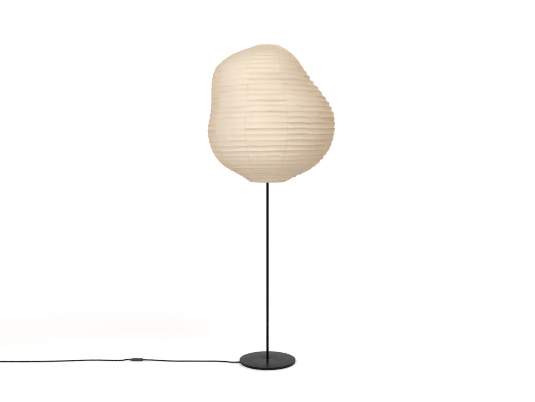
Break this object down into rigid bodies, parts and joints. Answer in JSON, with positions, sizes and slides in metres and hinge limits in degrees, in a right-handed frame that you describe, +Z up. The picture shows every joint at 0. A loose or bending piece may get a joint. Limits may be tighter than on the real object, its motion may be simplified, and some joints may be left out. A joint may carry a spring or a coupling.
{
  "type": "paper lantern floor lamp",
  "caption": "Floor lamp with an irregular, stone-shaped paper lantern on a slim black pole, a round flat base and a cord with an inline switch.",
  "frame": {"origin": "middle of the floor face of the pad under the base, on the pole's axis", "axes": "+Z up along the pole; +X to the right in the pictured view; the cord leaves towards -X; -Y faces the viewer"},
  "size_m": [1.7061, 0.5731, 1.4653],
  "materials": {
    "black_metal": "satin black powder coat",
    "pad_foam": "matt black foam rubber",
    "steel": "zinc-plated steel",
    "brass": "plain brass",
    "black_plastic": "matt black moulding",
    "porcelain": "unglazed porcelain",
    "white_plastic": "matt white moulding",
    "opal_glass": "opal",
    "paper": "fine crinkled paper, warm white",
    "rib_wire": "thin wire, cream coated",
    "white_wire": "off-white coated wire",
    "textile_cord": "black braided textile",
    "core_brown": "brown insulation",
    "core_blue": "blue insulation"
  },
  "bodies": {
    "lamp": {"base_plate": "black_metal", "base_pad": "pad_foam", "base_washer": "steel", "base_nut": "steel", "base_nipple": "steel", "cord_clamp": "black_plastic", "cord_clamp_screw_front": "steel", "cord_clamp_screw_back": "steel", "base_grommet": "black_plastic", "pole_lower": "black_metal", "pole_coupler": "steel", "pole_upper": "black_metal", "holder_nipple": "steel", "lampholder_cap": "black_plastic", "lampholder_body": "black_plastic", "shade_ring": "black_plastic", "lampholder_insert": "porcelain", "screw_shell": "brass", "centre_contact": "brass", "lantern_skin": "paper", "rib_spiral": "rib_wire", "lantern_bottom_ring": "white_wire", "lantern_top_ring": "white_wire", "stretcher_hub": "white_wire", "stretcher_upright_front": "white_wire", "stretcher_upright_back": "white_wire", "stretcher_arm_left": "white_wire", "stretcher_arm_right": "white_wire", "base_lead": "textile_cord", "live_core": "core_brown", "neutral_core": "core_blue", "switch_base": "black_plastic", "switch_cover": "black_plastic", "switch_pivot_pin": "steel", "switch_terminal_left": "brass", "switch_terminal_right": "brass", "switch_screw_left": "steel", "switch_screw_right": "steel", "switch_relief_left": "black_plastic", "switch_relief_right": "black_plastic", "cord_base_to_switch": "textile_cord", "cord_switch_to_coil": "textile_cord", "cord_coil": "textile_cord", "cord_tail": "textile_cord", "cord_tie": "black_plastic", "plug_relief": "black_plastic", "plug_body": "black_plastic", "plug_pin_left": "brass", "plug_pin_right": "brass"},
    "bulb": {"bulb_tip": "steel", "bulb_cap": "steel", "bulb_housing": "white_plastic", "bulb_globe": "opal_glass"},
    "rocker": {"switch_rocker": "black_plastic"}
  },
  "joints": [
    {"name": "switch_rocker_hinge", "type": "hinge", "parent": "lamp", "child": "rocker", "pos_m": [-0.617, 0.0145, 0.0071], "axis": [-0.06, -0.9982, 0], "range_deg": [0, 13.75]},
    {"name": "bulb_slide", "type": "slide", "parent": "lamp", "child": "bulb", "axis": [0, 0, 1], "range_m": [0, 0.025]}
  ]
}
